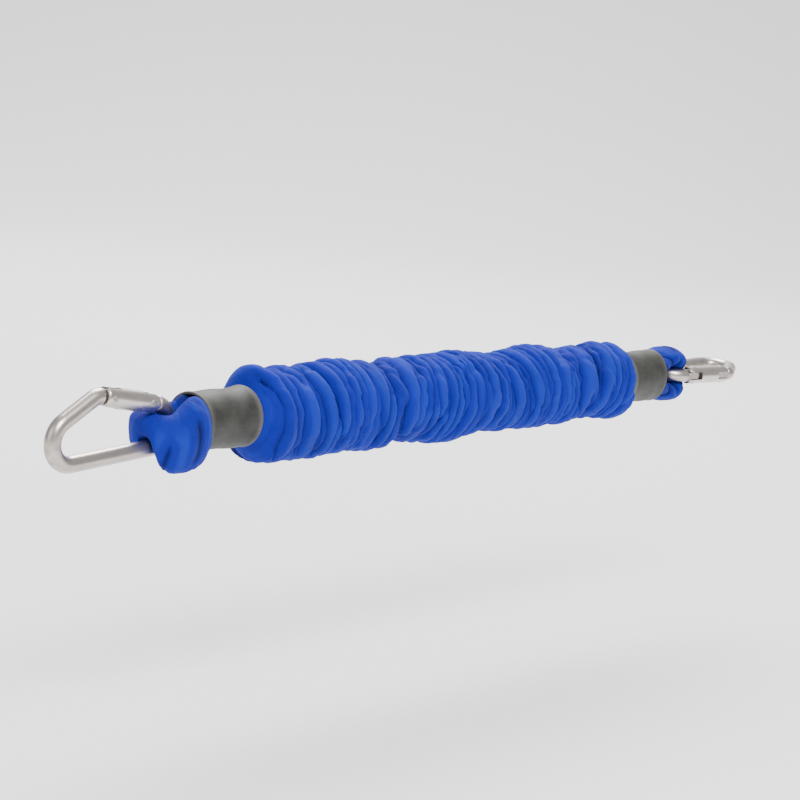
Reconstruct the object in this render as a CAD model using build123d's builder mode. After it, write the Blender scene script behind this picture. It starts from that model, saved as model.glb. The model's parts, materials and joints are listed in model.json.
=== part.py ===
from build123d import *

import os
from dataclasses import dataclass
from math import acos, asin, atan2, cos, degrees, hypot, radians, sin

# Resistance band: an elastic cord inside a gathered fabric sleeve, with a spring hook at each end.
# Millimetres. The origin is where the near hook bears on its anchor, and +X runs to the far hook.
# The near hook lies in the XZ plane and the far hook, a quarter turn round, in the XY plane.

# --- Spring hook, in its own plane: u from its seat to its small end, v towards its gate ---
WIRE_D = 6.0
HOOK_LENGTH = 60.0
LARGE_BEND_R = 8.0  # centre line of the wire round the seat
LARGE_BEND_DROP = 2.8  # the seat's bend stands this far below the line of pull
NOSE_BEND_R = 6.0
NOSE_GAP = 0.7  # from the gate's tip, which swings past the nose
GATE_LEAN = 9.0  # degrees between the gate and the line of pull

# --- Gate, measured from its rivet towards its tip ---
GATE_D = 7.5
GATE_REACH = 21.5
RIVET_SETBACK = 4.5  # from the end of the round wire to the rivet
RIVET_D = 2.6
RIVET_PROUD = 0.15
RIVET_EDGE_R = 0.3
LATCH_PIN_SETBACK = 2.8  # from the gate's tip to its latch pin
LATCH_PIN_D = 2.2
TAB_THICKNESS = 2.8
TAB_HALF_HEIGHT = 2.6
TAB_NOSE = 2.2  # flat of the hinge tab that the plunger bears on
TAB_CORNER_R = 0.8
TAB_ROOT = 2.0  # how far both tabs run into the round wire
LATCH_LIP = 2.0
LATCH_SLOT_GAP = 0.8  # from the latch tab to the end of its slot
PLUNGER_D = 3.0
PLUNGER_LENGTH = 3.5
PLUNGER_EDGE_R = 0.4
SPRING_WEB = 1.5  # metal between the spring's bore and the latch slot
SPRING_OD = 2.7
SPRING_WIRE_D = 0.4
SPRING_TURNS = 6

# --- Cord, crimp, collar and fabric ---
CORD_D = 8.0
FABRIC = 0.7
EYE_GAP = 11.0  # from the small end's wire to the collar
LEG_BEND_R = 15.0
LEG_SPLIT = 1.05  # each leg's own cover stops this many cover radii from the centre line
CROSSING_LENGTH = 25.0  # over which the cord comes back to the centre line
TAIL_PROUD = 1.0
CRIMP_INSET = 5.5
CRIMP_LENGTH = 15.0
CRIMP_WALL = 1.0
COLLAR_LENGTH = 27.0
COLLAR_WALL = 1.2
COLLAR_TAPER = 0.3  # the hook's end of a collar is this much smaller in radius
COLLAR_TAPER_LENGTH = 9.0
COLLAR_EDGE_R = 0.5
NECK_WALL = 0.6  # the sleeve's fabric, squeezed between the crimp and the collar
SLEEVE_LENGTH = 239.0
SLEEVE_RISE = 5.1  # how far the gathered folds stand out from the sleeve's neck
SLEEVE_WALL = 1.5
SLEEVE_SHOULDER_R = 4.0

# --- Clearances ---
MOVING_GAP = 0.3
RUNNING_GAP = 0.05
SLIDING_GAP = 0.08
SEAT_GAP = 0.1  # between pieces that are squeezed together and don't move
SAME_POINT = 1e-6

# --- Places that follow from the sizes above ---
WIRE_R = WIRE_D / 2
COVER_R = CORD_D / 2 + FABRIC
SMALL_BEND_R = WIRE_R + MOVING_GAP + COVER_R  # centre line of the wire round the small end
SMALL_WIRE_U = HOOK_LENGTH - WIRE_D - WIRE_R  # centre of the wire that the eye holds
SMALL_CENTRE = (SMALL_WIRE_U - SMALL_BEND_R, 0.0)
LARGE_CENTRE = (LARGE_BEND_R - WIRE_R, -LARGE_BEND_DROP)
GATE_HEADING = 180.0 - GATE_LEAN
LATCH_PIN_AT = GATE_REACH - LATCH_PIN_SETBACK
LATCH_TAB_END = LATCH_PIN_AT - LATCH_PIN_D / 2 - MOVING_GAP - LATCH_LIP
LATCH_SLOT_END = LATCH_TAB_END - LATCH_SLOT_GAP
SPRING_END = LATCH_SLOT_END - SPRING_WEB
EYE_BEND_R = WIRE_R + MOVING_GAP + COVER_R
PAIR_OFFSET = CORD_D / 2 + SEAT_GAP  # each leg of the eye from the centre line, inside the crimp
CRIMP_R = PAIR_OFFSET + CRIMP_WALL
CRIMP_HALF_WIDTH = PAIR_OFFSET + CRIMP_R
NECK_BORE_R = CRIMP_HALF_WIDTH + SEAT_GAP
NECK_R = NECK_BORE_R + NECK_WALL
SLEEVE_R = NECK_R + SLEEVE_RISE
COLLAR_BORE_R = NECK_R + SEAT_GAP
COLLAR_R = COLLAR_BORE_R + COLLAR_WALL
BAND_LENGTH = 2 * (SMALL_WIRE_U + EYE_GAP + COLLAR_LENGTH) + SLEEVE_LENGTH


def heading_between(centre_a, radius_a, centre_b, radius_b):
    """Direction, in degrees, of the straight run between two bends that both turn left."""
    across, up = centre_b[0] - centre_a[0], centre_b[1] - centre_a[1]
    return degrees(atan2(up, across) + asin((radius_a - radius_b) / hypot(across, up)))


def beside(centre, radius, heading):
    """Point where a bend that turns left has this heading."""
    angle = radians(heading - 90)
    return (centre[0] + radius * cos(angle), centre[1] + radius * sin(angle))


def in_hook(along, outward=0.0):
    """Hook coordinates of a point given from the rivet: along the gate, and out of the hook."""
    lean = radians(GATE_LEAN)
    start = beside(SMALL_CENTRE, SMALL_BEND_R, GATE_HEADING)
    run = RIVET_SETBACK + along
    inward, up = run * cos(lean) - outward * sin(lean), run * sin(lean) + outward * cos(lean)
    return (start[0] - inward, start[1] + up)


@dataclass(frozen=True)
class End:
    """One end of the band: its name, the hook's plane and the plane of the cord's eye."""

    name: str
    hook: Plane
    eye: Plane

    @property
    def gate(self):
        """Plane through the hook with its origin at the rivet and +X along the gate."""
        rivet = self.hook.from_local_coords(in_hook(0))
        tip = self.hook.from_local_coords(in_hook(GATE_REACH))
        return Plane(origin=rivet, x_dir=tip - rivet, z_dir=-self.hook.z_dir)

    def across_gate(self, along):
        """Plane square to the gate, this far from the rivet, facing its tip."""
        gate = self.gate
        return Plane(origin=gate.origin + gate.x_dir * along, x_dir=gate.y_dir, z_dir=gate.x_dir)

    def across_eye(self, along):
        """Plane square to the band, this far from the small end's wire, facing the sleeve."""
        eye = self.eye
        return Plane(origin=eye.origin + eye.x_dir * along, x_dir=eye.y_dir, z_dir=eye.x_dir)


ENDS = (
    End(
        "near",
        Plane(origin=(0, 0, 0), x_dir=(1, 0, 0), z_dir=(0, -1, 0)),
        Plane(origin=(SMALL_WIRE_U, 0, 0), x_dir=(1, 0, 0), z_dir=(0, 0, 1)),
    ),
    End(
        "far",
        Plane(origin=(BAND_LENGTH, 0, 0), x_dir=(-1, 0, 0), z_dir=(0, 0, 1)),
        Plane(origin=(BAND_LENGTH - SMALL_WIRE_U, 0, 0), x_dir=(-1, 0, 0), z_dir=(0, 1, 0)),
    ),
)


def save(piece, name):
    """Labels one finished piece and writes it."""
    piece.part.label = name
    export_step(piece.part, f"parts/{name}.step")


def hook_body(end):
    """Bent wire: nose, seat, spine and small end, with a flat tab at each end for the gate."""
    nose_end = in_hook(GATE_REACH + NOSE_GAP)
    nose_centre = in_hook(GATE_REACH + NOSE_GAP, -NOSE_BEND_R)
    nose_heading = heading_between(nose_centre, NOSE_BEND_R, LARGE_CENTRE, LARGE_BEND_R) % 360
    spine_heading = heading_between(LARGE_CENTRE, LARGE_BEND_R, SMALL_CENTRE, SMALL_BEND_R)
    bends = (
        (nose_centre, NOSE_BEND_R, GATE_HEADING, nose_heading),
        (LARGE_CENTRE, LARGE_BEND_R, nose_heading, spine_heading + 360),
        (SMALL_CENTRE, SMALL_BEND_R, spine_heading, GATE_HEADING),
    )
    with BuildPart() as body:
        with BuildLine(end.hook) as route:
            last = nose_end
            for centre, radius, heading_in, heading_out in bends:
                start = beside(centre, radius, heading_in)
                if hypot(start[0] - last[0], start[1] - last[1]) > SAME_POINT:
                    Line(last, start)
                CenterArc(centre, radius, heading_in - 90, heading_out - heading_in)
                last = beside(centre, radius, heading_out)
        with BuildSketch(Plane(origin=route.wire() @ 0, z_dir=route.wire() % 0)):
            Circle(WIRE_R)
        sweep(path=route.wire())
        fillet(body.faces().filter_by(GeomType.PLANE).edges(), TAB_CORNER_R)
        with BuildSketch(end.gate):
            hinge_tab_outline()
            latch_tab_outline()
        extrude(amount=TAB_THICKNESS / 2, both=True)
        with BuildSketch(end.gate):
            Circle(RIVET_D / 2)
        extrude(amount=TAB_THICKNESS, both=True, mode=Mode.SUBTRACT)
    save(body, f"{end.name}_hook_body")


def hinge_tab_outline():
    """Tab that the gate turns on, with rounded corners towards the plunger."""
    with BuildLine() as outline:
        FilletPolyline(
            (-RIVET_SETBACK - TAB_ROOT, TAB_HALF_HEIGHT),
            (TAB_NOSE, TAB_HALF_HEIGHT),
            (TAB_NOSE, -TAB_HALF_HEIGHT),
            (-RIVET_SETBACK - TAB_ROOT, -TAB_HALF_HEIGHT),
            radius=TAB_CORNER_R,
        )
        Line((-RIVET_SETBACK - TAB_ROOT, -TAB_HALF_HEIGHT), (-RIVET_SETBACK - TAB_ROOT, TAB_HALF_HEIGHT))
    make_face(outline.edges())


def latch_tab_outline():
    """Tab on the nose, with a notch on its inner side that holds the gate's latch pin."""
    notch_inner = LATCH_PIN_AT - LATCH_PIN_D / 2 - MOVING_GAP
    notch_outer = LATCH_PIN_AT + LATCH_PIN_D / 2 + MOVING_GAP
    notch_top = LATCH_PIN_D / 2 + MOVING_GAP
    root = GATE_REACH + TAB_ROOT + MOVING_GAP
    with BuildLine() as outline:
        FilletPolyline(
            (root, TAB_HALF_HEIGHT),
            (LATCH_TAB_END, TAB_HALF_HEIGHT),
            (LATCH_TAB_END, -TAB_HALF_HEIGHT),
            (root, -TAB_HALF_HEIGHT),
            radius=TAB_CORNER_R,
        )
        Line((root, -TAB_HALF_HEIGHT), (root, TAB_HALF_HEIGHT))
    make_face(outline.edges())
    with BuildLine() as notch:
        angle = degrees(asin(notch_top / LATCH_PIN_AT))
        sweep_down = -2 * degrees(asin(TAB_HALF_HEIGHT / notch_inner))
        inner = CenterArc((0, 0), notch_inner, angle, sweep_down)
        outer = CenterArc((0, 0), notch_outer, angle, sweep_down)
        Line(inner @ 0, outer @ 0)
        Line(inner @ 1, outer @ 1)
    make_face(notch.edges(), mode=Mode.SUBTRACT)


def gate(end):
    """Round gate, forked over both tabs, with a bore for the spring and its plunger."""
    radius = GATE_D / 2
    hinge_slot = hypot(TAB_NOSE, TAB_HALF_HEIGHT) + RUNNING_GAP
    slot_half = TAB_THICKNESS / 2 + MOVING_GAP
    with BuildPart() as body:
        with BuildSketch(end.across_gate(-radius)):
            Circle(radius)
        extrude(amount=radius + GATE_REACH)
        fillet(body.faces().sort_by(Axis(end.gate.origin, end.gate.x_dir))[-1].edges(), TAB_CORNER_R)
        with BuildSketch(end.gate):
            Circle(radius)
            with Locations((GATE_REACH / 2, 0)):
                Rectangle(GATE_REACH, GATE_D)
        extrude(amount=radius, both=True, mode=Mode.INTERSECT)
        with BuildSketch(end.gate):
            with Locations((hinge_slot - GATE_D, 0)):
                Rectangle(2 * GATE_D, 2 * GATE_D)
            with Locations((LATCH_SLOT_END + GATE_D, 0)):
                Rectangle(2 * GATE_D, 2 * GATE_D)
        extrude(amount=slot_half, both=True, mode=Mode.SUBTRACT)
        with BuildSketch(end.gate):
            Circle(RIVET_D / 2 + RUNNING_GAP)
            with Locations((LATCH_PIN_AT, 0)):
                Circle(LATCH_PIN_D / 2)
        extrude(amount=GATE_D, both=True, mode=Mode.SUBTRACT)
        with BuildSketch(end.across_gate(0)):
            Circle(PLUNGER_D / 2 + SLIDING_GAP)
        extrude(amount=SPRING_END, mode=Mode.SUBTRACT)
    save(body, f"{end.name}_gate")


def cross_pin(end, along, diameter, name):
    """Pin across the gate, standing a little proud of it at both ends, with rounded edges."""
    reach = GATE_D / 2 + RIVET_PROUD
    gate_plane = end.gate
    middle = gate_plane.origin + gate_plane.x_dir * along
    with BuildPart() as pin:
        with BuildSketch(Plane(origin=middle, x_dir=gate_plane.x_dir, z_dir=gate_plane.z_dir)):
            Circle(diameter / 2)
        extrude(amount=reach, both=True)
        fillet(pin.edges().filter_by(GeomType.CIRCLE), RIVET_EDGE_R)
    save(pin, f"{end.name}_{name}")


def gate_plunger(end):
    """Plunger between the spring and the hinge tab, with a rounded nose."""
    with BuildPart() as plunger:
        with BuildSketch(end.across_gate(TAB_NOSE + MOVING_GAP)):
            Circle(PLUNGER_D / 2)
        extrude(amount=PLUNGER_LENGTH)
        fillet(plunger.faces().sort_by(Axis(end.gate.origin, end.gate.x_dir))[0].edges(), PLUNGER_EDGE_R)
    save(plunger, f"{end.name}_gate_plunger")


def gate_spring(end):
    """Coil spring behind the plunger."""
    start = TAB_NOSE + MOVING_GAP + PLUNGER_LENGTH + SPRING_WIRE_D / 2 + RUNNING_GAP
    length = SPRING_END - start - SPRING_WIRE_D / 2 - RUNNING_GAP
    mean_radius = (SPRING_OD - SPRING_WIRE_D) / 2
    base = end.across_gate(start)
    with BuildPart() as spring:
        with BuildLine() as coil:
            Helix(length / SPRING_TURNS, length, mean_radius, center=base.origin, direction=base.z_dir)
        with BuildSketch(Plane(origin=coil.wire() @ 0, z_dir=coil.wire() % 0)):
            Circle(SPRING_WIRE_D / 2)
        sweep(path=coil.wire(), is_frenet=True)
    save(spring, f"{end.name}_gate_spring")


def leg_tangent():
    """Angle round the eye, from the band's centre line, where each leg leaves it."""
    reach = hypot(EYE_GAP, PAIR_OFFSET)
    return degrees(atan2(PAIR_OFFSET, EYE_GAP) + acos(EYE_BEND_R / reach))


def eye_point(angle):
    """Point on the eye's centre line."""
    return (EYE_BEND_R * cos(radians(angle)), EYE_BEND_R * sin(radians(angle)))


def eye_route(end):
    """Half of the cord's centre line: its tail, its eye, and its way back to the centre line."""
    angle = leg_tangent()
    collar_end = EYE_GAP + COLLAR_LENGTH
    with BuildLine(end.eye) as route:
        tail = (collar_end + TAIL_PROUD, PAIR_OFFSET)
        FilletPolyline(tail, (EYE_GAP, PAIR_OFFSET), eye_point(angle), radius=LEG_BEND_R)
        CenterArc((0, 0), EYE_BEND_R, angle, 360 - 2 * angle)
        FilletPolyline(
            eye_point(-angle), (EYE_GAP, -PAIR_OFFSET), (collar_end, -PAIR_OFFSET), radius=LEG_BEND_R
        )
        slope = 2 * degrees(atan2(PAIR_OFFSET, CROSSING_LENGTH))
        radius = (CROSSING_LENGTH**2 + PAIR_OFFSET**2) / (4 * PAIR_OFFSET)
        CenterArc((collar_end, radius - PAIR_OFFSET), radius, -90, slope)
        CenterArc((collar_end + CROSSING_LENGTH, -radius), radius, 90 + slope, -slope)
    return route


def elastic_cord():
    """One rubber cord, folded back on itself into an eye at each end."""
    near, far = (eye_route(end) for end in ENDS)
    reach = SMALL_WIRE_U + EYE_GAP + COLLAR_LENGTH + CROSSING_LENGTH
    with BuildPart() as cord:
        with BuildLine() as route:
            add(near.line)
            Line((reach, 0, 0), (BAND_LENGTH - reach, 0, 0))
            add(far.line)
        path = route.wire()
        with BuildSketch(Plane(origin=path @ 0, z_dir=path % 0)):
            Circle(CORD_D / 2)
        sweep(path=path)
    save(cord, "elastic_cord")
    return cord


def eye_cover(end, cord):
    """Sleeve fabric over the eye, down to its plug in the collar's mouth."""
    angle = leg_tangent()
    leg_end = (EYE_GAP, PAIR_OFFSET)
    touching = LEG_SPLIT * COVER_R
    top = eye_point(angle)
    share = (top[1] - touching) / (top[1] - leg_end[1])
    stop = (top[0] + share * (leg_end[0] - top[0]), touching)
    with BuildPart() as cover:
        with BuildLine(end.eye) as route:
            Line(stop, top)
            CenterArc((0, 0), EYE_BEND_R, angle, 360 - 2 * angle)
            Line(eye_point(-angle), (stop[0], -stop[1]))
        with BuildSketch(Plane(origin=route.wire() @ 0, z_dir=route.wire() % 0)):
            Circle(COVER_R)
        sweep(path=route.wire())
        with BuildSketch(end.across_eye(stop[0] - FABRIC)):
            SlotCenterToCenter(2 * PAIR_OFFSET, 2 * COVER_R)
        extrude(amount=EYE_GAP + CRIMP_INSET - SEAT_GAP - stop[0] + FABRIC)
        with BuildSketch(end.across_eye(EYE_GAP + MOVING_GAP)):
            Circle(NECK_R)
        extrude(amount=CRIMP_INSET - MOVING_GAP - SEAT_GAP)
        add(cord.part, mode=Mode.SUBTRACT)
    save(cover, f"{end.name}_eye_cover")


def crimp(end):
    """Oval metal ring pressed round both legs of the eye, under the collar."""
    with BuildPart() as ring:
        with BuildSketch(end.across_eye(EYE_GAP + CRIMP_INSET)):
            SlotCenterToCenter(2 * PAIR_OFFSET, 2 * CRIMP_R)
            SlotCenterToCenter(2 * PAIR_OFFSET, 2 * PAIR_OFFSET, mode=Mode.SUBTRACT)
        extrude(amount=CRIMP_LENGTH)
    save(ring, f"{end.name}_crimp")


def collar(end):
    """Rubber collar over the crimp and the sleeve's end, a little slimmer towards the hook."""
    slim, full, bore = COLLAR_R - COLLAR_TAPER, COLLAR_R, COLLAR_BORE_R
    start, stop, taper_end = EYE_GAP, EYE_GAP + COLLAR_LENGTH, EYE_GAP + COLLAR_TAPER_LENGTH
    with BuildPart() as ring:
        with BuildSketch(end.eye):
            with BuildLine():
                Polyline((start, bore), (start, slim), (taper_end, full), (stop, full), (stop, bore))
                Line((stop, bore), (start, bore))
            make_face()
        revolve(axis=Axis(end.eye.origin, end.eye.x_dir))
        rims = ring.faces().filter_by(GeomType.PLANE).edges()
        fillet(rims.filter_by(lambda rim: rim.radius > bore + RUNNING_GAP), COLLAR_EDGE_R)
    save(ring, f"{end.name}_collar")


def sleeve():
    """Outer shape of the gathered sleeve, with a neck at each end under the collar."""
    neck_start = SMALL_WIRE_U + EYE_GAP + CRIMP_INSET + SEAT_GAP
    body_start = SMALL_WIRE_U + EYE_GAP + COLLAR_LENGTH + MOVING_GAP
    full, bore = SLEEVE_R, SLEEVE_R - SLEEVE_WALL
    outer = ((neck_start, NECK_R), (body_start, NECK_R), (body_start, full))
    step = body_start + SLEEVE_WALL
    inner = ((step, bore), (step, NECK_BORE_R), (neck_start, NECK_BORE_R))
    with BuildPart() as tube:
        with BuildSketch(Plane.XY):
            with BuildLine():
                Polyline(*outer, *mirrored(outer))
                Polyline(*mirrored(inner), *inner)
                Line(outer[0], inner[-1])
                Line(mirrored(outer)[-1], mirrored(inner)[0])
            make_face()
        revolve(axis=Axis.X)
        rims = tube.edges().filter_by(GeomType.CIRCLE).filter_by(lambda rim: rim.radius > full - RUNNING_GAP)
        fillet(rims, SLEEVE_SHOULDER_R)
    save(tube, "sleeve_gathered")


def mirrored(points):
    """The same points at the band's other end, in the opposite order."""
    return tuple((BAND_LENGTH - x, y) for x, y in reversed(points))


os.makedirs("parts", exist_ok=True)
cord_piece = elastic_cord()
sleeve()
for band_end in ENDS:
    hook_body(band_end)
    gate(band_end)
    cross_pin(band_end, 0, RIVET_D, "gate_rivet")
    cross_pin(band_end, LATCH_PIN_AT, LATCH_PIN_D, "latch_pin")
    gate_plunger(band_end)
    gate_spring(band_end)
    eye_cover(band_end, cord_piece)
    crimp(band_end)
    collar(band_end)
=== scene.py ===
import json
import logging
import math
from dataclasses import dataclass, field
from enum import Enum
from typing import Optional, Sequence, Union

import bmesh
import bpy
import numpy as np
from mathutils import Matrix, Vector


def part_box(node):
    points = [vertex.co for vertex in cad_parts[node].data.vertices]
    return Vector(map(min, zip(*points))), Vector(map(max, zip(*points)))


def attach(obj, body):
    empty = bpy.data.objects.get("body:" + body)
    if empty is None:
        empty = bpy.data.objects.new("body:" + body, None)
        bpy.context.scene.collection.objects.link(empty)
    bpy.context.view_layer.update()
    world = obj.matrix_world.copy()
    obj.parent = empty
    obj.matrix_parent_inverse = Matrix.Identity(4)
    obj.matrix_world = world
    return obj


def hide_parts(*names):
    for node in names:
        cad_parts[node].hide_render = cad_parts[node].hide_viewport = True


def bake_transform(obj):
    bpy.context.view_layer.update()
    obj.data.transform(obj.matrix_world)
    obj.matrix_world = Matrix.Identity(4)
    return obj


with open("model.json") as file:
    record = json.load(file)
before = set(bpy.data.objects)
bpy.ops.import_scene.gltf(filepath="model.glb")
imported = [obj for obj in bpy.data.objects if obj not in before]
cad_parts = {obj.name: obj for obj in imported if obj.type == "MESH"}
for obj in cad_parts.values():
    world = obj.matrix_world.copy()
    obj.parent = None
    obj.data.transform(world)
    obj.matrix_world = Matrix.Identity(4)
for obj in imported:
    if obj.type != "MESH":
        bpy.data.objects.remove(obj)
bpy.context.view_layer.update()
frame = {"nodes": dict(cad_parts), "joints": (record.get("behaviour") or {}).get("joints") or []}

log = logging.getLogger("resistance_band")
MM = 0.001
Number = Union[int, float]


# --- Shader maths ---


class Signal:
    """One shader output. Arithmetic on signals adds Math nodes to its graph."""

    def __init__(self, graph: "Graph", socket: bpy.types.NodeSocket) -> None:
        """Wraps a socket of the graph."""
        self.graph = graph
        self.socket = socket

    def _math(self, operation: str, *values: "Value", clamp: bool = False) -> "Signal":
        """Adds one Math node.

        Args:
            operation: The Math node's operation.
            values: Its inputs, in order.
            clamp: Whether its result is held from 0 to 1.

        Returns:
            The node's result.
        """
        settings = {"operation": operation, "use_clamp": clamp}
        node = self.graph.node("ShaderNodeMath", settings, dict(enumerate(values)))
        return Signal(self.graph, node.outputs[0])

    def __add__(self, other: "Value") -> "Signal":
        """self + other."""
        return self._math("ADD", self, other)

    def __radd__(self, other: "Value") -> "Signal":
        """other + self."""
        return self._math("ADD", other, self)

    def __sub__(self, other: "Value") -> "Signal":
        """self - other."""
        return self._math("SUBTRACT", self, other)

    def __rsub__(self, other: "Value") -> "Signal":
        """other - self."""
        return self._math("SUBTRACT", other, self)

    def __mul__(self, other: "Value") -> "Signal":
        """self * other."""
        return self._math("MULTIPLY", self, other)

    def __rmul__(self, other: "Value") -> "Signal":
        """other * self."""
        return self._math("MULTIPLY", other, self)

    def __truediv__(self, other: "Value") -> "Signal":
        """self / other."""
        return self._math("DIVIDE", self, other)

    def __pow__(self, other: "Value") -> "Signal":
        """self ** other."""
        return self._math("POWER", self, other)

    def clamped(self) -> "Signal":
        """The same signal, held from 0 to 1."""
        return self._math("ADD", self, 0.0, clamp=True)

    def sine(self) -> "Signal":
        """The sine of the signal."""
        return self._math("SINE", self)

    def ramp(self, low: Number, high: Number) -> "Signal":
        """0 below low, 1 above high, and smooth between them."""
        node = self.graph.node(
            "ShaderNodeMapRange",
            {"interpolation_type": "SMOOTHSTEP"},
            {"Value": self, "From Min": low, "From Max": high},
        )
        return Signal(self.graph, node.outputs[0])


Value = Union[Number, Signal]
Colour = tuple[float, float, float]


class Graph:
    """The node tree of one material, with a Principled shader at its end."""

    def __init__(self, name: str) -> None:
        """Makes the material, empty but for its shader.

        Args:
            name: The material's name.
        """
        self.material = bpy.data.materials.new(name)
        self.material.use_nodes = True
        self.tree = self.material.node_tree
        self.tree.nodes.clear()
        self.shader = self.node("ShaderNodeBsdfPrincipled", {}, {})
        output = self.node("ShaderNodeOutputMaterial", {}, {})
        self.tree.links.new(self.shader.outputs[0], output.inputs[0])

    def node(self, kind: str, settings: dict, inputs: dict) -> bpy.types.Node:
        """Adds one node.

        Args:
            kind: The node's type.
            settings: Its own properties, which are set first.
            inputs: Socket name or number to a value or a signal.

        Returns:
            The new node.
        """
        node = self.tree.nodes.new(kind)
        for name, value in settings.items():
            setattr(node, name, value)
        for name, value in inputs.items():
            if isinstance(value, Signal):
                self.tree.links.new(value.socket, node.inputs[name])
            else:
                node.inputs[name].default_value = value
        return node

    def signal(self, kind: str, output: Union[str, int], settings: dict, inputs: dict) -> Signal:
        """Adds one node and returns one of its outputs as a signal."""
        return Signal(self, self.node(kind, settings, inputs).outputs[output])

    def place(self, output: str = "Object") -> Signal:
        """Coordinates on the piece: Object, in metres, or UV."""
        return self.signal("ShaderNodeTexCoord", output, {}, {})

    def attribute(self, name: str) -> Signal:
        """A number stored on the mesh's points."""
        return self.signal("ShaderNodeAttribute", "Fac", {"attribute_name": name}, {})

    def stretched(self, place: Signal, scale: tuple[float, float, float], turn: float = 0.0) -> Signal:
        """Coordinates scaled by axis, and turned round Z by an angle in radians."""
        inputs = {"Vector": place, "Scale": scale, "Rotation": (0.0, 0.0, turn)}
        return self.signal("ShaderNodeMapping", "Vector", {}, inputs)

    def axis(self, place: Signal, name: str) -> Signal:
        """One coordinate, X, Y or Z, of a place."""
        return self.signal("ShaderNodeSeparateXYZ", name, {}, {"Vector": place})

    def noise(self, place: Signal, scale: float, detail: float = 3.0, rough: float = 0.55) -> Signal:
        """Cloudy noise from 0 to 1."""
        inputs = {"Vector": place, "Scale": scale, "Detail": detail, "Roughness": rough}
        return self.signal("ShaderNodeTexNoise", 0, {}, inputs)

    def mix(self, share: Value, first: Union[Colour, Signal], second: Union[Colour, Signal]) -> Signal:
        """A colour between two colours.

        Args:
            share: 0 for the first colour, 1 for the second.
            first: A linear colour or a colour signal.
            second: A linear colour or a colour signal.

        Returns:
            The mixed colour.
        """
        ends = [value if isinstance(value, Signal) else (*value, 1.0) for value in (first, second)]
        return self.signal("ShaderNodeMix", 2, {"data_type": "RGBA"}, {0: share, 6: ends[0], 7: ends[1]})

    def bump(
        self, height: Signal, depth: float, strength: float = 1.0, under: Optional[Signal] = None
    ) -> Signal:
        """Normals bent by a height.

        Args:
            height: The height, from 0 to 1.
            depth: What a height of 1 stands for, in metres.
            strength: The share of it that is used.
            under: Normals that this bump lies on.

        Returns:
            The new normals.
        """
        inputs = {"Height": height, "Distance": depth, "Strength": strength}
        if under is not None:
            inputs["Normal"] = under
        return self.signal("ShaderNodeBump", 0, {}, inputs)

    def finish(self, **sockets: Union[Value, Colour]) -> bpy.types.Material:
        """Sets or links the shader's sockets, named with underscores for spaces.

        Args:
            sockets: Socket name to a value, a linear colour or a signal.

        Returns:
            The finished material.
        """
        for name, value in sockets.items():
            target = self.shader.inputs[name.replace("_", " ")]
            if isinstance(value, Signal):
                self.tree.links.new(value.socket, target)
            elif isinstance(value, tuple):
                target.default_value = (*value, 1.0)
            else:
                target.default_value = value
        return self.material


# --- Finishes ---


@dataclass(frozen=True)
class PlatedSteel:
    """Plated steel wire or rod: drawing marks along it, handling marks, and duller worn patches."""

    name: str
    colour: Colour
    worn: Colour
    roughness: float = 0.24
    along: tuple[float, float, float] = (0.08, 1.0, 1.0)

    def material(self) -> bpy.types.Material:
        """Builds the material."""
        graph = Graph(self.name)
        place = graph.place()
        clouds = graph.noise(place, 160.0, 4.0)
        drawn = graph.noise(graph.stretched(place, self.along), 2600.0, 2.0)
        pits = graph.noise(place, 1500.0, 2.0, 0.7)
        wear = graph.noise(place, 70.0, 5.0, 0.62).ramp(0.56, 0.68)
        dirt = graph.noise(place, 420.0, 3.0).ramp(0.6, 0.8)
        colour = graph.mix(clouds.ramp(0.3, 0.75) * 0.5 + wear * 0.4, self.colour, self.worn)
        colour = graph.mix(dirt * 0.45, colour, (0.16, 0.125, 0.1))
        rough = self.roughness + clouds * 0.12 + wear * 0.16 + drawn * 0.08
        fine = graph.bump(drawn, 0.02 * MM, 0.5)
        return graph.finish(
            Base_Color=colour, Metallic=1.0, Roughness=rough, Normal=graph.bump(pits, 0.03 * MM, 0.45, fine)
        )


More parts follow.
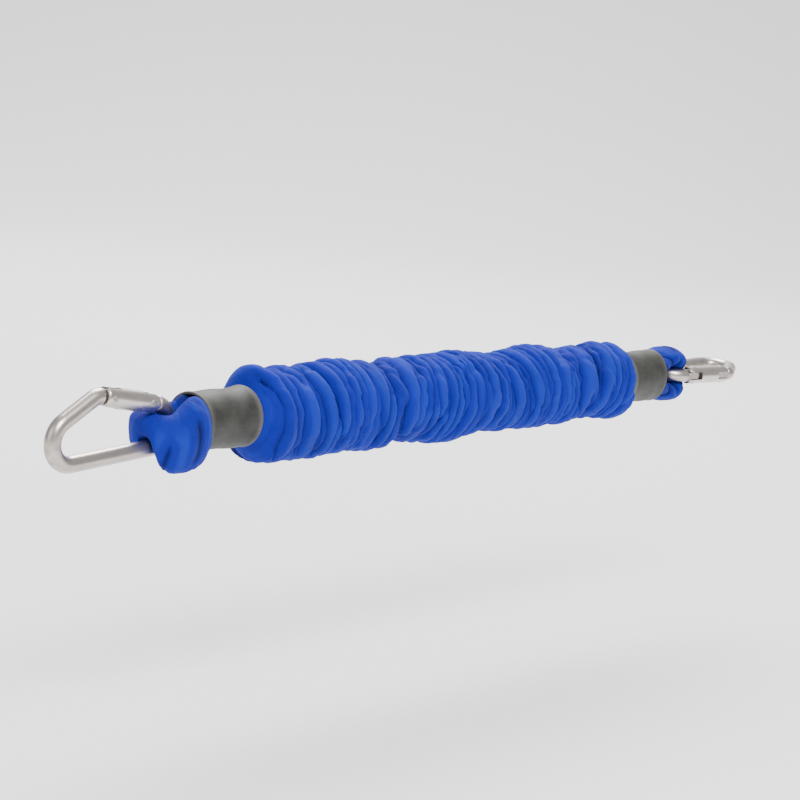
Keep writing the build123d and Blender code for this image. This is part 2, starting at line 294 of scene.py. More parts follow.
@dataclass(frozen=True)
class GatheredCloth:
    """Royal blue woven cloth: a fine plain weave, painted shade in its creases, a painted highlight on its
    crests and a soft nap.
    """

    name: str
    lit: Colour = (0.005, 0.012, 0.285)
    # Painted shade: the darker colour that creases are mixed towards, also used for random darker patches.
    shade_and_patch_colour: Colour = (0.001, 0.003, 0.060)
    threads_per_metre: float = 1500.0

    def material(self) -> bpy.types.Material:
        """Builds the material."""
        graph = Graph(self.name)
        cloth = graph.place("UV")
        place = graph.place()
        turn = 2 * math.pi * self.threads_per_metre
        across, along = graph.axis(cloth, "X"), graph.axis(cloth, "Y")
        weave = ((across * turn).sine() * (along * turn).sine()) * 0.5 + 0.5
        slub = graph.noise(graph.stretched(cloth, (1.0, 0.06, 1.0)), 1400.0, 2.0)
        fuzz = graph.noise(place, 2400.0, 3.0, 0.7)
        patches = graph.noise(place, 55.0, 3.0)
        # Painted shade: creases are darkened towards the shaded colour, together with random darker patches
        # and slubs.
        crease_shade = graph.attribute("crease_shade")
        crest_highlight = graph.attribute("crest_highlight")
        painted_shade_and_patches = (crease_shade * 0.9 + patches.ramp(0.35, 0.8) * 0.3 + slub * 0.1).clamped()
        colour = graph.mix(painted_shade_and_patches, self.lit, self.shade_and_patch_colour)
        # Painted highlight: the fold crests are lightened towards a paler blue, speckled by the nap.
        colour = graph.mix(crest_highlight * (0.12 + fuzz * 0.25), colour, (0.022, 0.065, 0.52))
        threads = graph.bump(weave, 0.1 * MM, 0.55)
        naps = graph.bump(fuzz * 0.6 + slub * 0.4, 0.12 * MM, 0.5, threads)
        drawn = graph.noise(graph.stretched(cloth, (0.14, 1.0, 1.0)), 420.0, 4.0, 0.6)
        gathered = graph.bump(drawn, 0.9 * MM, 0.6, naps)
        ripples = graph.bump(graph.noise(place, 380.0, 3.0), 0.5 * MM, 0.5, gathered)
        return graph.finish(
            Base_Color=colour,
            Roughness=0.78 + fuzz * 0.15,
            Normal=ripples,
            Sheen_Weight=0.05,
            Sheen_Roughness=0.45,
            Sheen_Tint=(0.45, 0.6, 1.0),
            Specular_IOR_Level=0.14,
        )


@dataclass(frozen=True)
class CollarRubber:
    """Dark grey rubber with an olive cast: mottled, faintly ringed, with paler scuffs and a painted
    highlight along its rims.
    """

    name: str
    colour: Colour = (0.036, 0.035, 0.029)
    dark: Colour = (0.014, 0.014, 0.011)
    # Paler colour for the painted rim highlight and for real scuffs.
    scuff_and_rim_highlight: Colour = (0.10, 0.096, 0.085)

    def material(self) -> bpy.types.Material:
        """Builds the material."""
        graph = Graph(self.name)
        place = graph.place()
        clouds = graph.noise(place, 120.0, 4.0)
        grain = graph.noise(place, 1900.0, 3.0, 0.7)
        rings = graph.noise(graph.stretched(place, (1.0, 0.05, 0.05)), 900.0, 2.0)
        scuffs = graph.noise(graph.stretched(place, (0.35, 1.0, 1.0)), 520.0, 4.0, 0.7).ramp(0.58, 0.7)
        # Painted highlight: the rims are lightened towards the paler colour, which also serves for real
        # scuffs.
        rim_highlight = graph.attribute("crest_highlight")
        colour = graph.mix(clouds.ramp(0.3, 0.75), self.dark, self.colour)
        colour = graph.mix((rim_highlight * (0.5 + grain * 0.6) + scuffs * 0.3).clamped(), colour, self.scuff_and_rim_highlight)
        skin = graph.bump(rings, 0.12 * MM, 0.5)
        return graph.finish(
            Base_Color=colour,
            Roughness=0.5 + grain * 0.2 + scuffs * 0.12,
            Normal=graph.bump(grain * 0.7 + clouds * 0.3, 0.09 * MM, 0.6, skin),
            Specular_IOR_Level=0.45,
        )


@dataclass(frozen=True)
class CordRubber:
    """Natural latex cord: amber, faintly cloudy, with a dusting of talc."""

    name: str

    def material(self) -> bpy.types.Material:
        """Builds the material."""
        graph = Graph(self.name)
        place = graph.place()
        clouds = graph.noise(place, 90.0, 3.0)
        talc = graph.noise(place, 900.0, 4.0, 0.7).ramp(0.5, 0.75)
        colour = graph.mix(clouds, (0.42, 0.28, 0.12), (0.55, 0.41, 0.22))
        colour = graph.mix(talc * 0.5, colour, (0.72, 0.68, 0.6))
        return graph.finish(
            Base_Color=colour, Roughness=0.45 + talc * 0.3, Normal=graph.bump(talc, 0.05 * MM, 0.4)
        )


@dataclass(frozen=True)
class StudioFloor:
    """Seamless pale studio paper."""

    name: str
    colour: Colour = (0.86, 0.86, 0.87)

    def material(self) -> bpy.types.Material:
        """Builds the material."""
        graph = Graph(self.name)
        fibres = graph.noise(graph.place(), 35.0, 3.0)
        colour = graph.mix(fibres * 0.2, self.colour, (0.82, 0.82, 0.83))
        return graph.finish(Base_Color=colour, Roughness=0.9, Specular_IOR_Level=0.1)


# --- Meshes ---


def smoothstep(value: np.ndarray, low: float, high: float) -> np.ndarray:
    """0 below low, 1 above high, and smooth between them."""
    t = np.clip((value - low) / (high - low), 0.0, 1.0)
    return t * t * (3 - 2 * t)


@dataclass
class Skin:
    """A grid of points, closed round one way, with its cloth coordinates and its painted shade and painted
    highlight masks.
    """

    points: np.ndarray
    cloth: np.ndarray
    crease_shade: np.ndarray
    crest_highlight: np.ndarray

    def mesh(self, name: str) -> bpy.types.Object:
        """Makes the grid a smooth mesh object.

        Args:
            name: The new object's name.

        Returns:
            The object, in the row frame.
        """
        rows, columns = self.points.shape[:2]
        index = np.arange(rows * columns).reshape(rows, columns)
        after = np.roll(index, -1, axis=1)
        quads = np.stack([index[:-1], after[:-1], after[1:], index[1:]], axis=-1).reshape(-1, 4)
        data = bpy.data.meshes.new(name)
        data.from_pydata(self.points.reshape(-1, 3).tolist(), [], quads.tolist())
        # Stores the painted shade and painted highlight masks that the shaders read.
        for painted_light_mark, values in (("crease_shade", self.crease_shade), ("crest_highlight", self.crest_highlight)):
            layer = data.attributes.new(painted_light_mark, "FLOAT", "POINT")
            layer.data.foreach_set("value", np.ascontiguousarray(values, np.float32).ravel())
        self._lay_cloth(data, quads, columns)
        data.polygons.foreach_set("use_smooth", [True] * len(data.polygons))
        data.update()
        data.validate()
        piece = bpy.data.objects.new(name, data)
        bpy.context.scene.collection.objects.link(piece)
        return piece

    def _lay_cloth(self, data: bpy.types.Mesh, quads: np.ndarray, columns: int) -> None:
        """Writes the cloth coordinates, carried past the seam where the grid closes."""
        layer = data.uv_layers.new(name="cloth")
        flat = self.cloth.reshape(-1, 2)[quads]
        wraps = quads % columns
        turn = self.cloth[0, -1, 0] * columns / (columns - 1)
        flat[:, 1:3, 0] += np.where(wraps[:, 1:3] == 0, turn, 0.0)
        values = np.zeros((len(data.loops), 2), np.float32)
        values[: flat.shape[0] * 4] = flat.reshape(-1, 2)
        layer.data.foreach_set("uv", values.ravel())


def apply_modifiers(piece: bpy.types.Object) -> bpy.types.Object:
    """Gives a piece the mesh that its modifiers make, and removes them."""
    bpy.context.view_layer.update()
    graph = bpy.context.evaluated_depsgraph_get()
    data = bpy.data.meshes.new_from_object(piece.evaluated_get(graph), depsgraph=graph)
    piece.modifiers.clear()
    piece.data = data
    return piece


def thicken(piece: bpy.types.Object, thickness: float) -> bpy.types.Object:
    """Turns a single layer into closed cloth of that thickness, in metres, grown inwards."""
    shell = piece.modifiers.new("thickness", "SOLIDIFY")
    shell.thickness = thickness
    shell.offset = -1.0
    shell.use_rim = True
    return apply_modifiers(piece)


def dress(piece: bpy.types.Object, material: bpy.types.Material) -> None:
    """Gives a piece one material."""
    piece.data.materials.clear()
    piece.data.materials.append(material)


@dataclass(frozen=True)
class Wave:
    """One ripple round and along a tube."""

    per_metre: float
    turns: int
    phase: float
    weight: float

    def value(self, along: np.ndarray, angle: np.ndarray) -> np.ndarray:
        """The ripple as a turning complex number at each point."""
        turned = 2 * math.pi * self.per_metre * along + self.turns * angle + self.phase
        return self.weight * np.exp(1j * turned)


def waves(seed: int, count: int, shortest: float, longest: float, most_turns: int) -> list[Wave]:
    """A seeded family of ripples.

    Args:
        seed: What the random numbers start from.
        count: How many ripples there are.
        shortest: The shortest wavelength, in metres.
        longest: The longest wavelength, in metres.
        most_turns: The most that a ripple winds round the tube.

    Returns:
        The ripples.
    """
    rng = np.random.default_rng(seed)
    family = []
    for _ in range(count):
        turns = int(np.rint(rng.normal(0.0, most_turns / 2.2)))
        turns = max(-most_turns, min(most_turns, turns))
        length = rng.uniform(shortest, longest)
        family.append(Wave(1 / length, turns, rng.uniform(0, 2 * math.pi), rng.uniform(0.6, 1.0)))
    return family


def gathers(
    family: Sequence[Wave], along: np.ndarray, angle: np.ndarray, sharp: float
) -> tuple[np.ndarray, np.ndarray]:
    """Folds with round crests and narrow creases, which branch and die out as gathered cloth does.

    Args:
        family: The ripples that they are made from.
        along: Distance along the tube, in metres.
        angle: Angle round it, in radians.
        sharp: Below 1, the crests are broader and the creases narrower.

    Returns:
        The height from 0 to 1, and the direction that each crest leans, from -1 to 1.
    """
    total = sum(wave.value(along, angle) for wave in family)
    size = np.abs(total) / np.sqrt(np.mean(np.abs(total) ** 2))
    depth = smoothstep(size, 0.05, 0.8)
    turn = np.angle(total)
    height = np.abs(np.cos(turn / 2)) ** sharp
    return 1 - depth * (1 - height), depth * np.sin(turn)


# --- Sub-assemblies ---


class Side(Enum):
    """The two ends of the band."""

    NEAR = "near"
    FAR = "far"


@dataclass(frozen=True)
class EndPlace:
    """Where one end of the band is, read from the frame.

    Attributes:
        side: Which end it is.
        wire: Centre of the hook's wire inside the eye.
        inward: Unit direction from the hook to the sleeve.
        wide: Unit direction across the eye, in the plane of the loop.
        tall: Unit direction square to the loop.
        gap: Distance from the wire to the collar.
        collar: Length of the collar.
        radius: Outer radius of the collar.
    """

    side: Side
    wire: Vector
    inward: Vector
    wide: Vector
    tall: Vector
    gap: float
    collar: float
    radius: float

    @classmethod
    def read(cls, side: Side) -> "EndPlace":
        """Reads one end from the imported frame.

        Args:
            side: Which end.

        Returns:
            Its place.
        """
        joint = next(j for j in frame["joints"] if j["name"] == f"{side.value}_swivel")
        low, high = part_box(f"{side.value}_collar")
        wire = Vector(joint["pos_m"])
        inward = Vector((1, 0, 0)) if side is Side.NEAR else Vector((-1, 0, 0))
        tall = Vector(joint["axis"])
        mouth = low.x if side is Side.NEAR else high.x
        gap, collar, radius = abs(mouth - wire.x), high.x - low.x, (high.z - low.z) / 2
        return cls(side, wire, inward, tall.cross(inward), tall, gap, collar, radius)

    def body(self, part: str) -> str:
        """Name of one of this end's bodies."""
        return f"{self.side.value}_{part}"

    def points(self, along: np.ndarray, wide: np.ndarray, tall: np.ndarray) -> np.ndarray:
        """Row-frame points from distances along, across and square to the eye."""
        axes = (self.inward, self.wide, self.tall)
        parts = (along, wide, tall)
        return np.array(self.wire) + sum(p[..., None] * np.array(a) for p, a in zip(parts, axes))


@dataclass
class GatheredSleeve:
    """The fabric tube gathered between the collars.

    Attributes:
        near: The near end.
        far: The far end.
        flat_width: Lay-flat circumference that the tube was cut to.
        flat_length: Length that the tube was cut to.
    """

    near: EndPlace
    far: EndPlace
    flat_width: float = 0.100
    flat_length: float = 0.48
    cloth: float = 0.0006
    neck: float = 0.008
    neck_radius: float = 0.0097
    radius_near: float = 0.0152
    radius_far: float = 0.0137
    fold_depth: float = 0.0058
    pleat_depth: float = 0.0022
    wrinkle_depth: float = 0.0010
    lean: float = 0.0015
    rows: int = 540
    columns: int = 132

    def skin(self) -> Skin:
        """The outer surface, fold by fold."""
        start = self.near.wire.x + self.near.gap + self.near.collar
        stop = self.far.wire.x - self.far.gap - self.far.collar
        length = stop - start
        along = np.linspace(-self.neck, length + self.neck, self.rows)[:, None]
        angle = np.linspace(0, 2 * math.pi, self.columns, endpoint=False)[None, :]
        along, angle = np.broadcast_arrays(along, angle)
        warp = 0.0030 * np.sin(2 * math.pi * along / 0.061 + 1.3) + 0.0022 * np.sin(angle + along / 0.021)
        folds, leaning = gathers(waves(11, 28, 0.0075, 0.0150, 3), along + warp, angle, 0.5)
        pleats, _ = gathers(waves(5, 30, 0.0029, 0.0050, 4), along + warp, angle, 0.6)
        wrinkles, _ = gathers(waves(8, 24, 0.006, 0.020, 12), along, angle, 0.7)
        lumps = sum(wave.value(along, angle).real for wave in waves(21, 7, 0.034, 0.075, 1)) / 2.2
        inside = smoothstep(along, 0.0, 0.0055) * smoothstep(length - along, 0.0, 0.0065)
        full = self.radius_near + (self.radius_far - self.radius_near) * smoothstep(along, 0.0, length)
        full = full + 0.0011 * lumps + self._bunch(along, angle)
        radius = full + self.fold_depth * (folds - 0.78) + self.pleat_depth * (pleats - 0.6)
        radius = radius + self.wrinkle_depth * (wrinkles - 0.5)
        radius = self.neck_radius + (radius - self.neck_radius) * inside
        x = start + along + self.lean * leaning * inside
        points = np.stack([x, radius * np.sin(angle), radius * np.cos(angle)], axis=-1)
        across = angle / (2 * math.pi) * self.flat_width
        cloth = np.stack([across, along / length * self.flat_length], axis=-1)
        # Painted shade: the crease mask darkens the cloth's colour in the folds and pleats.
        crease_shade = smoothstep(1 - folds, 0.15, 0.7) + 0.6 * smoothstep(1 - pleats, 0.3, 0.9)
        crease_shade = np.clip(crease_shade, 0, 1) * inside
        # Painted highlight: the crest mask lightens the tops of the folds.
        crest_highlight = smoothstep(folds, 0.9, 1.0) * smoothstep(pleats, 0.6, 1.0) * inside
        return Skin(points, cloth, crease_shade, crest_highlight)

    def _bunch(self, along: np.ndarray, angle: np.ndarray) -> np.ndarray:
        """Extra cloth pushed up beside the near collar, most of it underneath."""
        below = 0.5 - 0.5 * np.cos(angle - 0.25)
        return 0.0030 * np.exp(-(((along - 0.0070) / 0.0045) ** 2)) * below

    def build(self, material: bpy.types.Material) -> bpy.types.Object:
        sleeve = self.skin().mesh("sleeve_cloth")
        thicken(sleeve, self.cloth)
        dress(sleeve, material)
        start = self.near.points(np.array(self.near.gap + self.near.collar), np.array(0.0), np.array(0.0))
        stop = self.far.points(np.array(self.far.gap + self.far.collar), np.array(0.0), np.array(0.0))
        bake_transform(sleeve)
        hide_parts("sleeve_gathered")
        return sleeve


@dataclass
class EyeLobe:
    """Sleeve fabric puffed out over one eye of the cord.

    Attributes:
        place: The end that it belongs to.
        height: Half its height where it is fullest.
        sag: How far it hangs to one side of the eye's plane.
        bulge: How much wider than the cord's cover it swells beside the collar.
        slack: Share of that height that the leg on the eye's other side has.
        seed: What its creases start from.
    """

    place: EndPlace
    height: float
    sag: float
    bulge: float
    slack: float
    seed: int
    bend: float = 0.0080
    width: float = 0.0046
    inside_height: float = 0.0044
    wire_side: float = 0.0035
    pair: float = 0.0041
    tuck: float = 0.003
    mouth_height: float = 0.0090
    cloth: float = 0.0005
    flat_width: float = 0.056
    flat_length: float = 0.046
    rows: int = 180
    columns: int = 72

    def centre_line(self) -> tuple[np.ndarray, np.ndarray, np.ndarray, float]:
        """The loop from collar to collar.

        Returns:
            Points in the eye's plane, the directions square to it there, how far round from the
            hook's side, and how far round the collar's mouth is.
        """
        reach = math.hypot(self.place.gap, self.pair)
        tangent = math.atan2(self.pair, self.place.gap) + math.acos(self.bend / reach)
        turn = math.pi - tangent
        leg = math.hypot(
            self.place.gap - self.bend * math.cos(tangent), self.bend * math.sin(tangent) - self.pair
        )
        half = self.bend * turn + leg + self.tuck
        way = np.linspace(-half, half, self.rows)
        beyond = np.maximum(np.abs(way) - self.bend * turn, 0.0)
        swing = np.clip(np.abs(way) / self.bend, 0.0, turn)
        radial = np.stack([-np.cos(swing), np.sign(way) * np.sin(swing)], axis=-1)
        forward = np.stack([np.sin(swing), np.sign(way) * np.cos(swing)], axis=-1)
        points = self.bend * radial + beyond[:, None] * forward
        return points, radial, np.abs(way) / half, 1 - self.tuck / half

    def skin(self) -> Skin:
        """The puffed surface, drawn close where the hook's wire passes."""
        points, radial, share, mouth = self.centre_line()
        angle = np.linspace(0, 2 * math.pi, self.columns, endpoint=False)
        swing = np.degrees(np.arccos(np.clip(-radial[:, 0], -1, 1)))
        way = np.broadcast_to(share[:, None] * 0.03 + 0.002 * self.seed, (self.rows, self.columns))
        round_ = np.broadcast_to(angle[None, :], way.shape)
        up = np.sin(round_)
        puff_up, puff_down = smoothstep(swing, 46, 106)[:, None], smoothstep(swing, 3, 44)[:, None]
        puff = np.where(up > 0, puff_up, puff_down)
        closing = smoothstep(share, mouth - 0.15, mouth)[:, None]
        full = np.where(points[:, 1:2] > 0, self.height * self.slack, self.height)
        tall = self.inside_height + (full - self.inside_height) * puff
        tall = tall + (self.mouth_height - tall) * closing
        folds, _ = gathers(waves(self.seed, 14, 0.006, 0.013, 3), way, round_, 0.6)
        pleats, _ = gathers(waves(self.seed + 3, 16, 0.004, 0.02, 9), way, round_, 0.8)
        loose = (0.15 + 0.85 * puff) * (1 - 0.7 * closing)
        swell = 1 + loose * (0.16 * (folds - 0.85) + 0.05 * (pleats - 0.6))
        side = np.cos(round_)
        broad = self.width + self.bulge * smoothstep(swing, 30, 90)[:, None] * (1 - closing)
        outward = side * np.where(side > 0, broad * swell, self.width)
        upward = up * tall * swell + self.sag * puff * (1 - closing)
        flat = points[:, None, :] + outward[..., None] * radial[:, None, :]
        along, wide = flat[..., 0], flat[..., 1]
        beside = smoothstep(np.abs(upward), 0.0038, 0.0052) * (1 - smoothstep(along, 0.0030, 0.0045))
        wide = np.sign(wide) * np.maximum(np.abs(wide), self.wire_side * beside)
        cloth = np.stack([round_ / (2 * math.pi) * 0.06, way * 2.0], axis=-1)
        # Painted shade: the crease mask darkens the lobe in its folds and where it closes into the collar's
        # mouth.
        crease_shade = np.clip(smoothstep(1 - folds, 0.25, 0.85) * 0.9, 0, 1) * loose + 0.8 * closing
        # Painted highlight: the crest mask lightens the tops of the lobe's folds.
        crest_highlight = smoothstep(folds, 0.9, 1.0) * loose
        return Skin(self.place.points(along, wide, upward), cloth, np.clip(crease_shade, 0, 1), crest_highlight)

    def build(self, material: bpy.types.Material) -> bpy.types.Object:
        place = self.place
        lobe = self.skin().mesh(f"{place.side.value}_eye_cloth")
        thicken(lobe, self.cloth)
        dress(lobe, material)
        inside = tuple(place.wire - place.inward * 0.007)
        outside = tuple(place.wire + place.inward * 0.006)
        if place.side is Side.NEAR:
            place.body("hook")
            place.body("end")
            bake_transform(lobe)
        else:
            place.body("end")
            place.body("hook")
            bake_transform(lobe)
        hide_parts(place.body("eye_cover"))
        place.body("collar_skin")
        return lobe


@dataclass
class Collar:
    """One rubber collar, drawn over the crimp, with rolled rims.

    Attributes:
        place: The end that it belongs to.
        dome: How much its hook end closes in.
        flare: How far the eye's legs spread its mouth.
        seed: What its unevenness starts from.
    """

    place: EndPlace
    dome: float
    flare: float
    seed: int
    wall: float = 0.0012
    roll: float = 0.0006
    columns: int = 96

    def profile(self) -> np.ndarray:
        """Distance from the wire, radius and painted rim highlight, from the bore round the outside and
        back.
        """
        start, stop = self.place.gap, self.place.gap + self.place.collar
        outer, bore = self.place.radius, self.place.radius - self.wall
        outside = np.linspace(0, 1, 44)
        distance = start + self.roll + (stop - start - 2 * self.roll) * outside
        dome = self.dome * (1 - smoothstep(outside, 0.0, 0.42))
        lip = 0.00030 * np.exp(-(((outside - 1) / 0.05) ** 2)) + 0.0002 * np.exp(-((outside / 0.05) ** 2))
        waist = 0.0003 * np.sin(math.pi * outside) ** 2
        radius = outer - dome - waist + lip
        # Painted highlight along the rolled rims, strongest at the open end; the curls and bore get fainter
        # values below.
        painted_light_mark = np.exp(-(((outside - 1) / 0.055) ** 2)) + 0.5 * np.exp(-((outside / 0.05) ** 2))
        curl = np.linspace(0, math.pi, 9)[1:-1]
        half = self.wall / 2
        closed = [
            (start + self.roll * (1 - math.sin(a)), radius[0] - half * (1 + math.cos(a)), 0.6) for a in curl
        ]
        opened = [
            (stop - self.roll * (1 - math.sin(a)), radius[-1] - half * (1 - math.cos(a)), 1.0) for a in curl
        ]
        inside = [(stop - self.roll, bore, 0.3), (start + self.roll, radius[0] - self.wall, 0.2)]
        return np.array([inside[1], *closed, *zip(distance, radius, painted_light_mark), *opened, inside[0], inside[1]])

    def build(self, material: bpy.types.Material) -> bpy.types.Object:
        """Makes and dresses the collar."""
        shape = self.profile()
        angle = np.linspace(0, 2 * math.pi, self.columns, endpoint=False)
        distance, turned = np.broadcast_arrays(shape[:, :1], angle[None, :])
        uneven = sum(w.value(distance, turned).real for w in waves(self.seed, 9, 0.012, 0.05, 3)) * 0.00006
        opening = 1 - smoothstep(distance, self.place.gap, self.place.gap + 0.7 * self.place.collar)
        oval = self.flare * np.cos(2 * turned) * opening
        radius = shape[:, 1:2] + uneven + oval
        points = self.place.points(distance, radius * np.cos(turned), radius * np.sin(turned))
        # Carries the painted rim highlight mask onto the ring.
        crest_highlight = np.broadcast_to(shape[:, 2:3], radius.shape)
        cloth = np.stack([turned / (2 * math.pi) * 0.075, distance], axis=-1)
        ring = Skin(points[:-1], cloth[:-1], np.zeros_like(radius[:-1]), crest_highlight[:-1])
        collar = ring.mesh(f"{self.place.side.value}_collar_skin")
        close_lengthways(collar, self.columns)
        dress(collar, material)
        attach(collar, self.place.body("end"))
        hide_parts(self.place.body("collar"))
        return collar


def close_lengthways(piece: bpy.types.Object, columns: int) -> None:
    """Joins a grid's last ring to its first, so that a wall closes on itself."""
    data = piece.data
    last = len(data.vertices) - columns
    shape = bmesh.new()
    shape.from_mesh(data)
    shape.verts.ensure_lookup_table()
    for column in range(columns):
        after = (column + 1) % columns
        corners = (last + column, last + after, after, column)
        face = shape.faces.new([shape.verts[i] for i in corners])
        face.smooth = True
    bmesh.ops.recalc_face_normals(shape, faces=shape.faces[:])
    shape.to_mesh(data)
    shape.free()


def tube(name: str, points: Sequence[Vector], radius: float) -> bpy.types.Object:
    """Makes a round tube along some points.

    Args:
        name: The new object's name.
        points: Its centre line, in the row frame.
        radius: Its radius, in metres.

    Returns:
        The tube, closed at both ends.
    """
    curve = bpy.data.curves.new(name, "CURVE")
    curve.dimensions = "3D"
    curve.bevel_depth = radius
    curve.bevel_resolution = 4
    curve.use_fill_caps = True
    spline = curve.splines.new("POLY")
    spline.points.add(len(points) - 1)
    for point, target in zip(points, spline.points):
        target.co = (*point, 1.0)
    holder = bpy.data.objects.new(name, curve)
    bpy.context.scene.collection.objects.link(holder)
    bpy.context.view_layer.update()
    graph = bpy.context.evaluated_depsgraph_get()
    data = bpy.data.meshes.new_from_object(holder.evaluated_get(graph), depsgraph=graph)
    bpy.data.objects.remove(holder)
    piece = bpy.data.objects.new(name, data)
    bpy.context.scene.collection.objects.link(piece)
    return piece


@dataclass
class ElasticCord:
    """The rubber cord along the inside of the sleeve."""

    near: EndPlace
    far: EndPlace
    radius: float = 0.004
    bend: float = 0.008
    pair: float = 0.0041
    crossing: float = 0.025
    tail: float = 0.001

    def route(self) -> list[Vector]:
        """Centre line from the near tail to the far tail."""
        near = self._half(self.near)
        return near + self._half(self.far)[::-1]

    def _half(self, place: EndPlace) -> list[Vector]:
        """Centre line of one end, from its tail to where the cord is back on the band's own line."""
        reach = math.hypot(place.gap, self.pair)
        tangent = math.atan2(self.pair, place.gap) + math.acos(self.bend / reach)
        stop = place.gap + place.collar
        flat = [(stop + self.tail, self.pair), (place.gap, self.pair)]
        for angle in np.linspace(tangent, 2 * math.pi - tangent, 25):
            flat.append((self.bend * math.cos(angle), self.bend * math.sin(angle)))
        flat.append((place.gap, -self.pair))
        for share in np.linspace(0, 1, 13):
            easing = share * share * (3 - 2 * share)
            flat.append((stop + self.crossing * share, -self.pair * (1 - easing)))
        return [place.wire + place.inward * float(a) + place.wide * float(b) for a, b in flat]

    def build(self, material: bpy.types.Material) -> bpy.types.Object:
        """Makes and dresses the cord."""
        cord = tube("elastic_core", self.route(), self.radius)
        dress(cord, material)
        start = self.near.wire + self.near.inward * (self.near.gap + self.near.collar)
        stop = self.far.wire + self.far.inward * (self.far.gap + self.far.collar)
        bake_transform(cord)
        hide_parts("elastic_cord")
        return cord


@dataclass
class GateSpring:
    """The coil spring behind a gate's plunger.

    Attributes:
        side: The end that it belongs to.
        first: Distance from the gate's rivet to the coil's start, at the plunger.
        last: Distance from the rivet to the coil's end, at the end of its bore.
        coil_radius: Radius of the coil's centre line.
        wire_radius: Radius of its wire.
        turns: How many turns it has.
        steps: How many points each turn is drawn with.
    """

    side: Side
    first: float = 0.00625
    last: float = 0.01275
    coil_radius: float = 0.00115
    wire_radius: float = 0.0002
    turns: int = 6
    steps: int = 24

    def build(self, material: bpy.types.Material) -> bpy.types.Object:
        """Makes and dresses the spring."""
        side = self.side.value
        joints = {joint["name"]: joint for joint in frame["joints"]}
        away = Vector(joints[f"{side}_plunger_slide"]["axis"]).normalized()
        rivet = Vector(joints[f"{side}_gate_hinge"]["pos_m"])
        across = Vector(joints[f"{side}_gate_hinge"]["axis"]).normalized()
        upright = away.cross(across)
        points = []
        for share in np.linspace(0, 1, self.turns * self.steps + 1):
            angle = 2 * math.pi * self.turns * float(share)
            round_ = (across * math.cos(angle) + upright * math.sin(angle)) * self.coil_radius
            along = self.first + (self.last - self.first) * float(share)
            points.append(rivet + away * along + round_)
        spring = tube(f"{side}_coil", points, self.wire_radius)
        dress(spring, material)
        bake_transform(spring)
        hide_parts(f"{side}_gate_spring")
        return spring


@dataclass
class SpringHook:
    """The steel pieces of one hook, which keep their shape and take their finishes here."""

    side: Side
    wire: bpy.types.Material
    gate: bpy.types.Material
    pins: bpy.types.Material

    def build(self) -> None:
        """Dresses the hook's pieces."""
        finishes = {
            "hook_body": self.wire,
            "gate": self.gate,
            "gate_rivet": self.pins,
            "latch_pin": self.pins,
            "gate_plunger": self.pins,
            "crimp": self.gate,
        }
        for part, material in finishes.items():
            node = frame["nodes"][f"{self.side.value}_{part}"]
            dress(node, material)
            log.info("%s dressed in %s", node.name, material.name)


# --- Studio ---


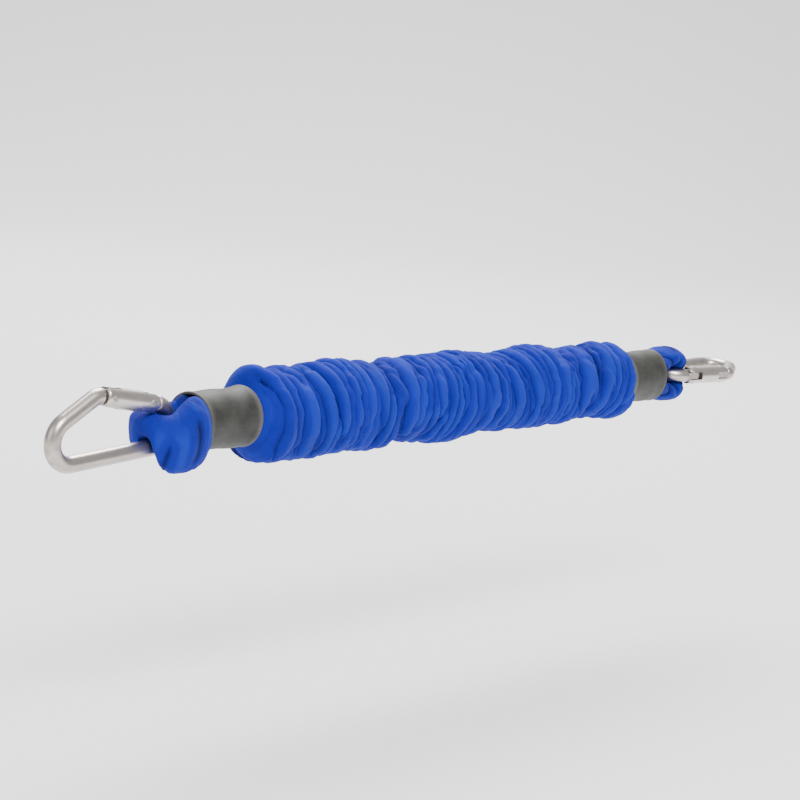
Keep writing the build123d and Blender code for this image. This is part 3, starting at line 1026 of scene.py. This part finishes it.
@dataclass
class Studio:
    """Pale floor, soft lights, and the camera.

    Attributes:
        place: The camera's place, in metres.
        up: The camera's own upward direction.
        aim: What it looks at.
        lens: Its focal length, in millimetres.
        roll: How far it is turned round its own line of sight, in degrees.
    """

    place: Vector = field(default_factory=lambda: Vector((-0.559, -0.598, 0.157)))
    up: Vector = field(default_factory=lambda: Vector((0.227, 0.395, 0.890)))
    aim: Vector = field(default_factory=lambda: Vector((0.180, 0.0, 0.0)))
    lens: float = 110.0
    roll: float = -4.3
    floor_drop: float = 0.115
    sweep_radius: float = 0.9
    sweep_behind: float = 1.6
    floor_size: float = 8.0

    def camera(self) -> None:
        """Sets up the camera."""
        data = bpy.data.cameras.new("camera")
        data.lens = self.lens
        data.clip_start = 0.01
        camera = bpy.data.objects.new("camera", data)
        bpy.context.scene.collection.objects.link(camera)
        back = (self.place - self.aim).normalized()
        right = self.up.cross(back).normalized()
        upward = back.cross(right)
        level = Matrix((right, upward, back)).transposed().to_4x4()
        turn = Matrix.Rotation(math.radians(self.roll), 4, back) @ level
        camera.matrix_world = Matrix.Translation(self.place) @ turn
        bpy.context.scene.camera = camera

    def light(
        self, name: str, place: Vector, size: float, power: float, colour: Colour = (1.0, 1.0, 1.0)
    ) -> None:
        """Adds one soft area light, aimed at the band.

        Args:
            name: Its name.
            place: Where it stands, in metres.
            size: Its width, in metres.
            power: Its power, in watts.
            colour: Its colour.
        """
        data = bpy.data.lights.new(name, "AREA")
        data.size = size
        data.energy = power
        data.color = colour
        lamp = bpy.data.objects.new(name, data)
        lamp.location = place
        lamp.rotation_euler = (self.aim - place).to_track_quat("-Z", "Y").to_euler()
        bpy.context.scene.collection.objects.link(lamp)

    def sweep(self) -> bpy.types.Object:
        """Paper that runs along the floor and curves up into a wall behind the band."""
        away = Vector((self.aim.x - self.place.x, self.aim.y - self.place.y, 0.0)).normalized()
        across = Vector((-away.y, away.x, 0.0))
        centre = Vector((self.aim.x, self.aim.y, -self.floor_drop))
        bend = [
            (self.sweep_behind + self.sweep_radius * math.sin(a), self.sweep_radius * (1 - math.cos(a)))
            for a in np.linspace(0, math.pi / 2, 33)
        ]
        end = (self.sweep_behind + self.sweep_radius, self.floor_size / 2)
        profile = [(-self.floor_size / 2, 0.0), *bend, end]
        points = [
            centre + away * along + Vector((0, 0, height)) + across * (side * self.floor_size / 2)
            for along, height in profile
            for side in (-1, 1)
        ]
        faces = [(2 * row, 2 * row + 1, 2 * row + 3, 2 * row + 2) for row in range(len(profile) - 1)]
        data = bpy.data.meshes.new("studio_floor")
        data.from_pydata(points, [], faces)
        data.polygons.foreach_set("use_smooth", [True] * len(data.polygons))
        floor = bpy.data.objects.new("studio_floor", data)
        bpy.context.scene.collection.objects.link(floor)
        return floor

    def build(self) -> None:
        """Sets up the floor, the world, the lights and the camera."""
        floor = self.sweep()
        dress(floor, StudioFloor("studio_paper").material())
        world = bpy.data.worlds.new("studio_world")
        world.use_nodes = True
        background = world.node_tree.nodes["Background"]
        background.inputs["Color"].default_value = (0.95, 0.97, 1.0, 1.0)
        background.inputs["Strength"].default_value = 0.62
        bpy.context.scene.world = world
        self.light("key", Vector((-0.35, -0.85, 1.05)), 0.5, 26.0)
        self.light("fill", Vector((-1.1, 0.2, 0.5)), 0.9, 4.0)
        self.light("backdrop", Vector((1.0, 0.9, 1.6)), 1.2, 85.0)
        self.camera()


def main() -> None:
    """Builds the band in order and reports each piece."""
    logging.basicConfig(level=logging.INFO, format="%(message)s")
    near, far = EndPlace.read(Side.NEAR), EndPlace.read(Side.FAR)
    Studio().build()
    cloth = GatheredCloth("royal_blue_cloth").material()
    rubber = CollarRubber("collar_rubber").material()
    wire = PlatedSteel("plated_wire", (0.50, 0.455, 0.42), (0.34, 0.30, 0.27)).material()
    gate = PlatedSteel("plated_gate", (0.60, 0.555, 0.52), (0.44, 0.40, 0.365), 0.2).material()
    pins = PlatedSteel("cut_steel", (0.42, 0.39, 0.36), (0.28, 0.25, 0.23), 0.34).material()
    for side in Side:
        SpringHook(side, wire, gate, pins).build()
        log.info("made %s", GateSpring(side).build(pins).name)
    for collar in (Collar(near, 0.0002, 0.0003, 31), Collar(far, 0.0005, 0.0008, 37)):
        log.info("made %s", collar.build(rubber).name)
    for lobe in (EyeLobe(near, 0.0130, -0.0028, 0.0030, 0.7, 41), EyeLobe(far, 0.0082, 0.0, 0.0, 1.0, 47)):
        log.info("made %s", lobe.build(cloth).name)
    log.info("made %s", GatheredSleeve(near, far).build(cloth).name)
    log.info("made %s", ElasticCord(near, far).build(CordRubber("latex").material()).name)


if __name__ == "__main__":
    main()
